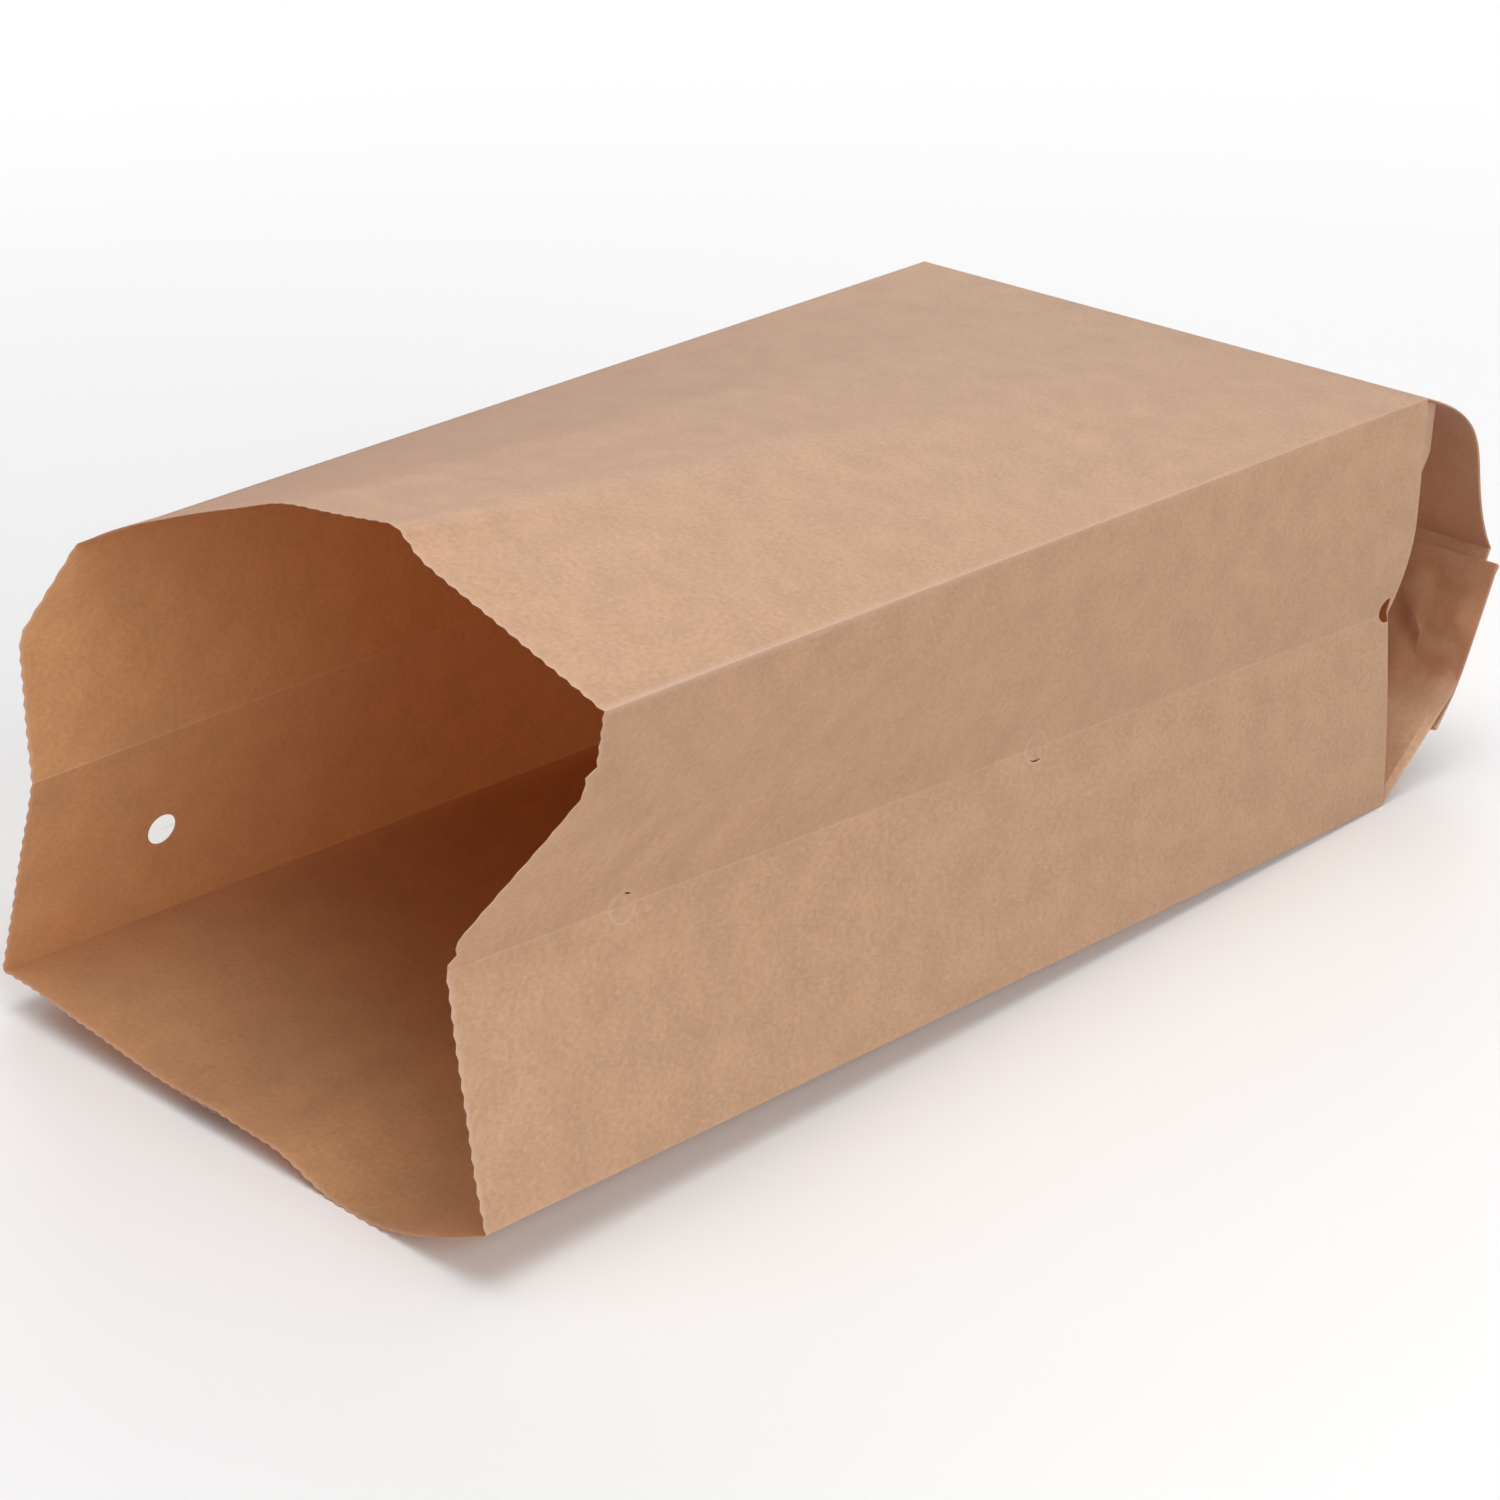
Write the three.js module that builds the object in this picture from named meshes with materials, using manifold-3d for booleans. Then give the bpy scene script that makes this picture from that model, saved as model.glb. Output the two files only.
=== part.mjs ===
// Paper snack bag: one sheet of kraft paper, folded and glued into a side-gusset bag.
// It lies opened on its back panel. X runs across the bag, +X being the near side,
// Y from the mouth to the closed end, and Z up. All lengths are millimetres.
import * as THREE from 'three';
import { mergeVertices } from 'three/addons/utils/BufferGeometryUtils.js';
import Module from 'manifold-3d';

// The sheet and its folds
const PAPER = 0.1; // thickness of the kraft paper
const LAYER_GAP = 0.2; // air between layers that lie on each other
const PANEL_WIDTH = 130; // front and back panel, fold to fold
const HALF_GUSSET = 41; // side panel, edge fold to centre fold
const BACK_LENGTH = 236; // back panel, mouth edge to end fold
const SEAM_OVERLAP = 12; // glued lap of the sheet's two long edges
const SEAM_OFFSET = 9; // middle of that lap, from the middle of the back panel to the far side
const SEAM_STEP = 4; // width over which the upper edge of the lap comes down again

// The toothed cut at both ends: the back panel stands out past the front panel, and the opened
// mouth is a little askew
const LIP = 20; // by how much it stands out in the folded strip
const NEAR_LIP = 24.6; // and at the near top fold of the mouth
const FAR_LIP = 18.3; // and at the far top fold of the mouth
const NEAR_CENTRE_LIP = 4.4; // and at the centre fold of the near gusset
const FAR_CENTRE_LIP = 2.3; // and at the centre fold of the far gusset
const NEAR_CUT_START = 15.4; // square part of the cut next to the near top fold
const NEAR_CUT_RUN = 20.5; // slanted part of the cut in the near gusset
const FAR_CUT_RUN = 15; // slanted part of the cut in the far gusset
const TOOTH_PITCH = 2.7;
const TOOTH_DEPTH = 0.4;

// The opened mouth, which fades into a plain box at the closed end
const NEAR_LIFT = 10.4; // near fold of the back panel above the floor
const FAR_LIFT = 7.5; // far fold of the back panel above the floor
const REST_INSET = 27; // from the near fold to the strip that lies flat on the floor
const REST_WIDTH = 12; // width of that strip
const HUMP_HEIGHT = 3.8; // low hump of the back panel beside that strip
const HUMP_RUN = 16; // width over which it rises
const BACK_SHIFT = 2.5; // sideways shift of the back panel to the near side
const FRONT_SHIFT = 7.5; // sideways shift of the front panel to the near side
const NEAR_TUCK = 12; // near centre fold, in from the line between its edge folds
const FAR_TUCK = 12; // far centre fold, likewise
const END_TUCK = 1.5; // both centre folds at the closed end
const NEAR_SLOPE = 19; // degrees by which the front panel rises from its near fold
const NEAR_CREASE = 47; // first soft crease of the front panel, from its near fold
const MIDDLE_SLOPE = -7; // degrees between the two creases
const FAR_CREASE = 74; // second soft crease
const FAR_SLOPE = -21; // degrees from there to the far fold

// The closed end: both panels turn in as flaps and are pinched together with the gussets
// between them, and the pinched strip is folded down and glued on the back flap
const NEAR_OVERHANG = 4.6; // near end of the front panel's end fold, past that of the back panel
const FAR_OVERHANG = 8; // far end of it, likewise
const END_DIP = 1.8; // gussets' end folds, short of the front panel's
const END_DIP_RUN = 10; // distance from the top fold over which they fall short
const CENTRE_PULL = 4; // centre folds' end, short of the back panel's end fold
const NEAR_END_TURN = 16; // distance from the centre fold over which the near gusset's end fold turns in
const FAR_END_TURN = 34; // and the far gusset's
const BEND_OUT = 27; // where the back flap turns up, out from its end fold
const BEND_HEIGHT = 19;
const PINCH_OUT = 30.5; // top of the back flap, out from its end fold
const PINCH_RISE = 1.5; // top of the back flap above the gusset's centre fold
const SHOULDER_OUT = 17.2; // reach of the front flap's round shoulder
const SHOULDER_DROP = 1.8;
const FLAP_FALL = 24.7; // lower stretch of the front flap
const FLAP_LEAN = 8.6; // by how much it leans out on its way down
const POCKET_NECK = 3; // depth of the narrow slot at the bottom of each end pocket
const STRIP = 15; // folded strip, from the pinch to the back panel's cut edge

// Punched holes
const HOLE_DIAMETER = 6; // round hole in the lower half of the far gusset
const HOLE_FROM_MOUTH = 33;
const HOLE_FROM_FOLD = 19; // above the far fold of the back panel
const VENT_DIAMETER = 5; // vents on the near centre fold
const VENT_SLIT = 0.4; // width of a vent's cut line
const VENT_HINGE = 100; // degrees of a vent's circle that stay uncut
const FIRST_VENT = 40; // from the mouth
const VENT_COUNT = 3; // the last one lies on the end fold
const PUNCH_DEPTH = 8; // length of the punches

// Fineness of the grid that carries the sheet
const GUSSET_COLUMNS = 8; // also the rows of the end flaps, so that creases meet grid points
const FRONT_COLUMNS = 14;
const BACK_COLUMNS = 7; // on either side of the seam
const BOX_ROWS = 12;
const STRIP_ROWS = 4;
const CURVE_STEPS = 32;

const PITCH = PAPER + LAYER_GAP;
const SEAM_NEAR = SEAM_OVERLAP / 2 - SEAM_OFFSET;
const SEAM_FAR = -SEAM_OVERLAP / 2 - SEAM_OFFSET;
const mix = THREE.MathUtils.lerp;

// Layers of the pinched strip, counted outwards from the back flap
const BACK_LAYER = 0;
const LOWER_LAYER = 1;
const UPPER_LAYER = 2;
const FRONT_LAYER = 3;

// Extra length of a parabola of the given rise over its run
const parabolaSlack = (rise, run) => (2 * rise * rise) / (3 * run);

// Edge folds and centre fold of one gusset. Its two halves keep their width, so the tuck
// of the centre fold gives the height of the top fold.
function gussetFolds(bottom, topX, tuck, side) {
  const span = 2 * Math.sqrt(HALF_GUSSET ** 2 - tuck ** 2);
  const top = new THREE.Vector2(topX, bottom.y + Math.sqrt(span ** 2 - (topX - bottom.x) ** 2));
  const along = top.clone().sub(bottom).normalize();
  const centre = bottom.clone().add(top).multiplyScalar(0.5);
  centre.x -= side * along.y * tuck;
  centre.y += side * along.x * tuck;
  return { top, centre };
}

// The front panel's section from its near to its far fold, in even steps. Each step has its own
// slope, so the panel keeps its width. Steps of the chord are given along it and up from it.
function frontSteps(open) {
  const step = PANEL_WIDTH / FRONT_COLUMNS;
  const line = [new THREE.Vector2()];
  for (let i = 0; i < FRONT_COLUMNS; i += 1) {
    const distance = (i + 0.5) * step;
    let slope = FAR_SLOPE;
    if (distance < FAR_CREASE) slope = MIDDLE_SLOPE;
    if (distance < NEAR_CREASE) slope = NEAR_SLOPE;
    const angle = THREE.MathUtils.degToRad(slope * open);
    line.push(line[i].clone().add(new THREE.Vector2(step * Math.cos(angle), step * Math.sin(angle))));
  }
  const tilt = line[FRONT_COLUMNS].angle();
  line.forEach((point) => point.rotateAround(line[0], -tilt));
  return line;
}

// Cross-section of the bag: t is 0 at the mouth and 1 at the end fold.
function section(t) {
  const open = 1 - t;
  const nearLift = NEAR_LIFT * open;
  const farLift = FAR_LIFT * open;
  const farRun = PANEL_WIDTH - REST_INSET - REST_WIDTH;
  const backSlack = parabolaSlack(nearLift, REST_INSET) + parabolaSlack(farLift, farRun);
  const backHalf = (PANEL_WIDTH - backSlack) / 2;
  const front = frontSteps(open);
  const frontHalf = front[FRONT_COLUMNS].x / 2;
  const backMiddle = BACK_SHIFT * open;
  const frontMiddle = FRONT_SHIFT * open;
  const nearBottom = new THREE.Vector2(backMiddle + backHalf, nearLift);
  const farBottom = new THREE.Vector2(backMiddle - backHalf, farLift);
  const nearTuck = mix(NEAR_TUCK, END_TUCK, t);
  const farTuck = mix(FAR_TUCK, END_TUCK, t);
  const near = gussetFolds(nearBottom, frontMiddle + frontHalf, nearTuck, 1);
  const far = gussetFolds(farBottom, frontMiddle - frontHalf, farTuck, -1);
  return { open, front, nearBottom, farBottom, near, far };
}

// The back panel: flat on the floor along its rest strip, curling up to its near fold, and on the
// other side stepping up to a low hump, from which it rises slowly to its far fold
function backPoint(cut, x) {
  const scale = (cut.nearBottom.x - cut.farBottom.x) / PANEL_WIDTH;
  const place = mix(cut.farBottom.x, cut.nearBottom.x, x / PANEL_WIDTH + 0.5);
  const restNear = cut.nearBottom.x - REST_INSET * scale;
  const restFar = restNear - REST_WIDTH * scale;
  const nearPart = Math.max(0, (place - restNear) / (cut.nearBottom.x - restNear));
  const farPart = Math.max(0, (restFar - place) / (restFar - cut.farBottom.x));
  const humpPart = THREE.MathUtils.smoothstep(restFar - place, 0, HUMP_RUN * scale);
  const hump = HUMP_HEIGHT * cut.open * humpPart * (1 - farPart);
  return new THREE.Vector2(place, cut.nearBottom.y * nearPart ** 1.5 + hump + cut.farBottom.y * farPart ** 1.5);
}

// The front panel between its two folds, up over both creases
function frontPoint(cut, column) {
  const step = cut.front[column];
  const point = cut.near.top.clone().lerp(cut.far.top, step.x / cut.front[FRONT_COLUMNS].x);
  point.y += step.y;
  return point;
}

// How far the toothed cut is set back at a distance from the top fold, in a gusset's upper half
function slantedCut(near, distance) {
  const start = near ? NEAR_CUT_START : 0;
  const run = near ? NEAR_CUT_RUN : FAR_CUT_RUN;
  const share = THREE.MathUtils.clamp((distance - start) / run, 0, 1);
  return near ? mix(NEAR_LIP, NEAR_CENTRE_LIP, share) : mix(FAR_LIP, FAR_CENTRE_LIP, share);
}

// How far a gusset's end fold stands out past the back panel's, at a distance from its edge fold
function endEdge(near, upper, distance) {
  if (!upper) return (-CENTRE_PULL * distance) / HALF_GUSSET;
  const edge = near ? NEAR_OVERHANG : FAR_OVERHANG;
  const dip = END_DIP * Math.min(1, distance / END_DIP_RUN);
  const run = near ? NEAR_END_TURN : FAR_END_TURN;
  const turn = Math.max(0, 1 - (HALF_GUSSET - distance) / run) ** 2;
  return mix(edge - dip, -CENTRE_PULL, turn);
}

// Columns of the grid, around the bag: from the seam over the near gusset, the front panel and
// the far gusset back to the seam. Each has its place on the section, its layer in the pinched
// strip, its setbacks at both cuts, its shift at the end fold and its place across the end.
function sheetColumns() {
  const columns = [];
  const half = PANEL_WIDTH / 2;
  const addBack = (x, layer) => {
    columns.push({ kind: 'back', x, layer, raise: layer * PITCH, setback: 0, stripSetback: 0,
      endShift: 0, askew: 0, place: (cut) => backPoint(cut, x) });
  };
  const addGusset = (side, upper, step) => {
    const share = step / GUSSET_COLUMNS;
    const fromEdge = share * HALF_GUSSET;
    const near = side > 0;
    const centreLip = near ? NEAR_CENTRE_LIP : FAR_CENTRE_LIP;
    const onCentre = step === GUSSET_COLUMNS;
    const foldLayer = upper ? (UPPER_LAYER + FRONT_LAYER) / 2 : (BACK_LAYER + LOWER_LAYER) / 2;
    const innerLayer = upper ? UPPER_LAYER : LOWER_LAYER;
    let layer = step === 0 ? foldLayer : innerLayer;
    if (onCentre) layer = (LOWER_LAYER + UPPER_LAYER) / 2;
    columns.push({ kind: 'gusset', side, upper, step, layer, raise: 0, onCentre,
      x: side * (half - fromEdge),
      setback: upper ? slantedCut(near, fromEdge) : centreLip * share,
      stripSetback: upper ? LIP * (1 - share) : 0,
      endShift: endEdge(near, upper, fromEdge),
      askew: upper && !near ? FAR_OVERHANG - NEAR_OVERHANG : 0,
      place: (cut) => {
        const folds = near ? cut.near : cut.far;
        const bottom = near ? cut.nearBottom : cut.farBottom;
        return (upper ? folds.top : bottom).clone().lerp(folds.centre, share);
      } });
  };
  addBack(SEAM_FAR, 1);
  addBack(SEAM_NEAR, 1);
  for (let i = 0; i < BACK_COLUMNS; i += 1) {
    addBack(mix(SEAM_NEAR + SEAM_STEP, half, i / BACK_COLUMNS), BACK_LAYER);
  }
  for (let step = 0; step <= GUSSET_COLUMNS; step += 1) addGusset(1, false, step);
  for (let step = GUSSET_COLUMNS - 1; step >= 0; step -= 1) addGusset(1, true, step);
  for (let i = 1; i < FRONT_COLUMNS; i += 1) {
    const share = i / FRONT_COLUMNS;
    columns.push({ kind: 'front', x: half - share * PANEL_WIDTH, layer: FRONT_LAYER, raise: 0,
      setback: mix(NEAR_LIP, FAR_LIP, share),
      stripSetback: LIP,
      endShift: mix(NEAR_OVERHANG, FAR_OVERHANG, share),
      askew: share * (FAR_OVERHANG - NEAR_OVERHANG),
      place: (cut) => frontPoint(cut, i) });
  }
  for (let step = 0; step <= GUSSET_COLUMNS; step += 1) addGusset(-1, true, step);
  for (let step = GUSSET_COLUMNS - 1; step >= 0; step -= 1) addGusset(-1, false, step);
  for (let i = 1; i <= BACK_COLUMNS; i += 1) {
    addBack(mix(-half, SEAM_NEAR, i / BACK_COLUMNS), BACK_LAYER);
  }
  return columns;
}

// Profiles of the closed end in the Y and Z plane. The back flap climbs from its end fold to the
// pinch; the front flap comes down over a round shoulder and passes outside the pinch.
const endCut = section(1);
const backFlap = new THREE.QuadraticBezierCurve(
  new THREE.Vector2(BACK_LENGTH, 0),
  new THREE.Vector2(BACK_LENGTH + BEND_OUT, BEND_HEIGHT),
  new THREE.Vector2(BACK_LENGTH + PINCH_OUT, HALF_GUSSET + PINCH_RISE),
);
const pinch = backFlap.getPointAt(1);
const pinchUp = backFlap.getTangentAt(1);
const pinchOut = new THREE.Vector2(pinchUp.y, -pinchUp.x);
const atPinch = (out, up) => pinch.clone().addScaledVector(pinchOut, out).addScaledVector(pinchUp, up);
const frontFold = new THREE.Vector2(BACK_LENGTH + NEAR_OVERHANG, endCut.near.top.y);
const frontFoot = atPinch((1 + FRONT_LAYER) * PITCH, POCKET_NECK);
const frontFlap = new THREE.CubicBezierCurve(
  frontFold,
  frontFold.clone().add(new THREE.Vector2(SHOULDER_OUT, -SHOULDER_DROP)),
  frontFoot.clone().add(new THREE.Vector2(-FLAP_LEAN, FLAP_FALL)),
  frontFoot,
);
const backLength = backFlap.getLength();
const frontLength = frontFlap.getLength();

// A layer on the bag's side of the back flap, or outside it in the folded strip
function backLayerPoint(layer, distance, outside) {
  const share = THREE.MathUtils.clamp(distance / backLength, 0, 1);
  const tangent = backFlap.getTangentAt(share);
  const offset = (outside ? 1 + layer : -layer) * PITCH;
  return backFlap.getPointAt(share).add(new THREE.Vector2(tangent.y, -tangent.x).multiplyScalar(offset));
}

function frontLayerPoint(layer, distance) {
  const share = THREE.MathUtils.clamp(distance / frontLength, 0, 1);
  const tangent = frontFlap.getTangentAt(share);
  const offset = (layer - FRONT_LAYER) * PITCH;
  return frontFlap.getPointAt(share).add(new THREE.Vector2(-tangent.y, tangent.x).multiplyScalar(offset));
}

// A point of the end flaps in one row: 0 is the end fold, GUSSET_COLUMNS the neck of the pockets.
function flapProfile(upper, layer, row) {
  const length = (upper ? frontLength : backLength) - POCKET_NECK;
  const distance = (length * row) / GUSSET_COLUMNS;
  return upper ? frontLayerPoint(layer, distance) : backLayerPoint(layer, distance, false);
}

function flapPoint(column, row) {
  const isFront = column.kind === 'front' || (column.kind === 'gusset' && column.upper);
  const askew = column.askew * (1 - row / GUSSET_COLUMNS);
  if (column.kind !== 'gusset' || column.step === 0) {
    const profile = flapProfile(isFront, column.layer, row);
    return new THREE.Vector3(column.x, profile.x + askew, profile.y);
  }
  const centreStart = endCut[column.side > 0 ? 'near' : 'far'].centre;
  const apexX = column.side * (PANEL_WIDTH / 2 - HALF_GUSSET);
  const upperApex = flapProfile(true, UPPER_LAYER, GUSSET_COLUMNS);
  const lowerApex = flapProfile(false, LOWER_LAYER, GUSSET_COLUMNS);
  const apex = upperApex.lerp(lowerApex, 0.5);
  const centre = new THREE.Vector3(centreStart.x, BACK_LENGTH - CENTRE_PULL, centreStart.y);
  centre.lerp(new THREE.Vector3(apexX, apex.x, apex.y), row / GUSSET_COLUMNS);
  if (column.onCentre) return centre;
  // Outside the diagonal crease the gusset lines the flap; inside it, it spans the end.
  const creaseStep = Math.min(column.step, row);
  const layer = column.upper ? UPPER_LAYER : LOWER_LAYER;
  const profile = flapProfile(isFront, layer, row);
  const creaseX = column.side * (PANEL_WIDTH / 2 - (creaseStep / GUSSET_COLUMNS) * HALF_GUSSET);
  const crease = new THREE.Vector3(creaseX, profile.x + askew, profile.y);
  return crease.lerp(centre, (column.step - creaseStep) / (GUSSET_COLUMNS - creaseStep));
}

// Rows around the pinch: just before it, on its crest, and just past it
function pinchProfile(layer, row) {
  const outward = (1 + layer) * PITCH;
  if (layer >= UPPER_LAYER) return atPinch(outward, POCKET_NECK * (1 - row / 2));
  if (row === 0) return atPinch(-layer * PITCH, 0);
  if (row === 1) return atPinch(PITCH / 2, (0.5 + layer) * PITCH);
  return atPinch(outward, 0);
}

function pinchPoint(column, row) {
  let profile = pinchProfile(column.layer, row);
  if (column.onCentre) profile = pinchProfile(LOWER_LAYER, row).lerp(pinchProfile(UPPER_LAYER, row), 0.5);
  return new THREE.Vector3(column.x, profile.x, profile.y);
}

function stripPoint(column, share) {
  const length = (STRIP + column.stripSetback) * share;
  const profile = backLayerPoint(column.layer, backLength - length, true);
  return new THREE.Vector3(column.x, profile.x, profile.y);
}

// Middle of the sheet along one column, from the valleys of the mouth's teeth to those of the strip
function columnPoints(column) {
  const points = [];
  for (let row = 0; row <= BOX_ROWS; row += 1) {
    const t = row / BOX_ROWS;
    const place = column.place(section(t));
    const y = mix(column.setback + TOOTH_DEPTH, BACK_LENGTH + column.endShift, t);
    points.push(new THREE.Vector3(place.x, y, place.y + column.raise));
  }
  for (let row = 1; row <= GUSSET_COLUMNS; row += 1) points.push(flapPoint(column, row));
  for (let row = 0; row < 3; row += 1) points.push(pinchPoint(column, row));
  for (let row = 1; row <= STRIP_ROWS; row += 1) points.push(stripPoint(column, row / STRIP_ROWS));
  return points;
}

// The sheet's middle surface: points, triangles facing out of the bag, and outward normals
function sheetSurface() {
  const columns = sheetColumns();
  const grid = columns.map(columnPoints);
  const columnCount = grid.length;
  const rowCount = grid[0].length;
  const points = grid.flat();
  const normals = points.map(() => new THREE.Vector3());
  const triangles = [];
  const id = (column, row) => column * rowCount + row;

  for (let c = 0; c < columnCount - 1; c += 1) {
    const towardsEdgeFold = columns[c].step > columns[c + 1].step;
    for (let r = 0; r < rowCount - 1; r += 1) {
      const corners = [id(c, r), id(c, r + 1), id(c + 1, r + 1), id(c + 1, r)];
      const first = points[corners[2]].clone().sub(points[corners[0]]);
      const second = points[corners[3]].clone().sub(points[corners[1]]);
      const facing = first.cross(second).normalize();
      corners.forEach((corner) => normals[corner].add(facing));
      // Each quad is split along the diagonal that the gusset's crease follows.
      if (towardsEdgeFold) corners.push(corners.shift());
      if (r > 0 && r < rowCount - 2) {
        triangles.push([corners[0], corners[1], corners[2]], [corners[0], corners[2], corners[3]]);
      }
    }
  }
  // On a fold that lies flat the faces' normals cancel: there the crest points out of the fold.
  for (let c = 1; c < columnCount - 1; c += 1) {
    for (let r = 0; r < rowCount; r += 1) {
      const normal = normals[id(c, r)];
      if (normal.length() < 1) {
        const around = points[id(c - 1, r)].clone().add(points[id(c + 1, r)]).multiplyScalar(0.5);
        const crest = points[id(c, r)].clone().sub(around);
        normal.copy(crest.multiplyScalar(Math.sign(crest.dot(normal)) || 1));
      }
    }
  }
  normals.forEach((normal) => normal.normalize());

  // Teeth along an end row, fanned out from the row behind it
  const addTeeth = (edgeRow, behindRow, flip) => {
    for (let c = 0; c < columnCount - 1; c += 1) {
      const left = id(c, edgeRow);
      const right = id(c + 1, edgeRow);
      const outward = points[left].clone().sub(points[id(c, behindRow)]).normalize();
      outward.add(points[right].clone().sub(points[id(c + 1, behindRow)]).normalize()).normalize();
      const teeth = Math.max(1, Math.round(points[left].distanceTo(points[right]) / TOOTH_PITCH));
      const edge = [left];
      for (let k = 1; k < 2 * teeth; k += 1) {
        const share = k / (2 * teeth);
        const point = points[left].clone().lerp(points[right], share);
        if (k % 2 === 1) point.addScaledVector(outward, TOOTH_DEPTH);
        points.push(point);
        normals.push(normals[left].clone().lerp(normals[right], share).normalize());
        edge.push(points.length - 1);
      }
      edge.push(right);
      const anchors = [id(c, behindRow), id(c + 1, behindRow)];
      const add = (a, b, d) => triangles.push(flip ? [a, d, b] : [a, b, d]);
      for (let k = 0; k < 2 * teeth; k += 1) add(anchors[k < teeth ? 0 : 1], edge[k + 1], edge[k]);
      add(anchors[0], anchors[1], edge[teeth]);
    }
  };
  addTeeth(0, 1, false);
  addTeeth(rowCount - 1, rowCount - 2, true);
  return { points, normals, triangles };
}

// Gives the middle surface its thickness: an outer and an inner skin, and walls along every cut edge
function thickSheet({ points, normals, triangles }) {
  const count = points.length;
  const positions = [];
  [PAPER / 2, -PAPER / 2].forEach((offset) => {
    points.forEach((point, i) => positions.push(...point.clone().addScaledVector(normals[i], offset)));
  });
  const indices = [];
  const edges = new Map();
  triangles.forEach(([a, b, c]) => {
    indices.push(a, b, c, a + count, c + count, b + count);
    [[a, b], [b, c], [c, a]].forEach(([from, to]) => {
      if (!edges.delete(`${to} ${from}`)) edges.set(`${from} ${to}`, [from, to]);
    });
  });
  edges.forEach(([from, to]) => {
    indices.push(to, from, from + count, to, from + count, to + count);
  });
  const geometry = new THREE.BufferGeometry();
  geometry.setAttribute('position', new THREE.Float32BufferAttribute(positions, 3));
  geometry.setIndex(indices);
  return geometry;
}

const wasm = await Module();
wasm.setup();

function toSolid(geometry) {
  geometry.deleteAttribute('normal');
  geometry.deleteAttribute('uv');
  const merged = mergeVertices(geometry, 1e-5);
  return new wasm.Manifold(new wasm.Mesh({
    numProp: 3,
    vertProperties: new Float32Array(merged.attributes.position.array),
    triVerts: new Uint32Array(merged.index.array),
  }));
}

function toGeometry(solid) {
  const mesh = solid.getMesh();
  const geometry = new THREE.BufferGeometry();
  geometry.setAttribute('position', new THREE.Float32BufferAttribute(mesh.vertProperties, 3));
  geometry.setIndex(new THREE.Uint32BufferAttribute(mesh.triVerts, 1));
  return geometry;
}

// A punch is an outline in the Y and Z plane, extruded along X through a point of the sheet.
function punch(shape, point) {
  const geometry = new THREE.ExtrudeGeometry(shape, { depth: PUNCH_DEPTH, bevelEnabled: false, curveSegments: CURVE_STEPS });
  geometry.translate(0, 0, -PUNCH_DEPTH / 2);
  geometry.rotateX(Math.PI / 2);
  geometry.rotateZ(Math.PI / 2);
  geometry.translate(point.x, point.y, point.z);
  return toSolid(geometry);
}

function roundHole(diameter) {
  return new THREE.Shape().absarc(0, 0, diameter / 2, 0, 2 * Math.PI);
}

// The half of a vent on the mouth's side of the end fold
function halfMoon() {
  return new THREE.Shape().absarc(0, 0, VENT_DIAMETER / 2, Math.PI / 2, (3 * Math.PI) / 2);
}

// A vent's cut line: most of a circle, left uncut on the mouth's side
function ventSlit() {
  const reach = Math.PI - THREE.MathUtils.degToRad(VENT_HINGE) / 2;
  const outer = (VENT_DIAMETER + VENT_SLIT) / 2;
  const inner = (VENT_DIAMETER - VENT_SLIT) / 2;
  const shape = new THREE.Shape();
  shape.absarc(0, 0, outer, -reach, reach);
  shape.absarc(0, 0, inner, reach, -reach, true);
  return shape;
}

let bag = toSolid(thickSheet(sheetSurface()));

const holeCut = section(HOLE_FROM_MOUTH / BACK_LENGTH);
const holePlace = holeCut.farBottom.clone().lerp(holeCut.far.centre, HOLE_FROM_FOLD / HALF_GUSSET);
const holePoint = new THREE.Vector3(holePlace.x, HOLE_FROM_MOUTH, holePlace.y);
bag = bag.subtract(punch(roundHole(HOLE_DIAMETER), holePoint));

const lastVent = BACK_LENGTH - CENTRE_PULL;
for (let i = 0; i < VENT_COUNT; i += 1) {
  const y = mix(FIRST_VENT, lastVent, i / (VENT_COUNT - 1));
  const centre = section(y / lastVent).near.centre;
  const onEndFold = i === VENT_COUNT - 1;
  const shape = onEndFold ? halfMoon() : ventSlit();
  bag = bag.subtract(punch(shape, new THREE.Vector3(centre.x, y, centre.y)));
}

// The origin is the middle of the bag's footprint, on the floor.
const bagGeometry = toGeometry(bag);
bagGeometry.computeBoundingBox();
const { min, max } = bagGeometry.boundingBox;
bagGeometry.translate(-(min.x + max.x) / 2, -(min.y + max.y) / 2, -min.z);
bagGeometry.computeVertexNormals();

const kraftPaper = new THREE.MeshStandardMaterial({ color: 0xc49a74, roughness: 0.9, metalness: 0 });
const paperBag = new THREE.Mesh(bagGeometry, kraftPaper);
paperBag.name = 'paper_bag';

const model = new THREE.Group();
model.add(paperBag);
export default model;
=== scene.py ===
import math

import bpy
import numpy as np
from mathutils import Matrix, Vector


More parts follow.
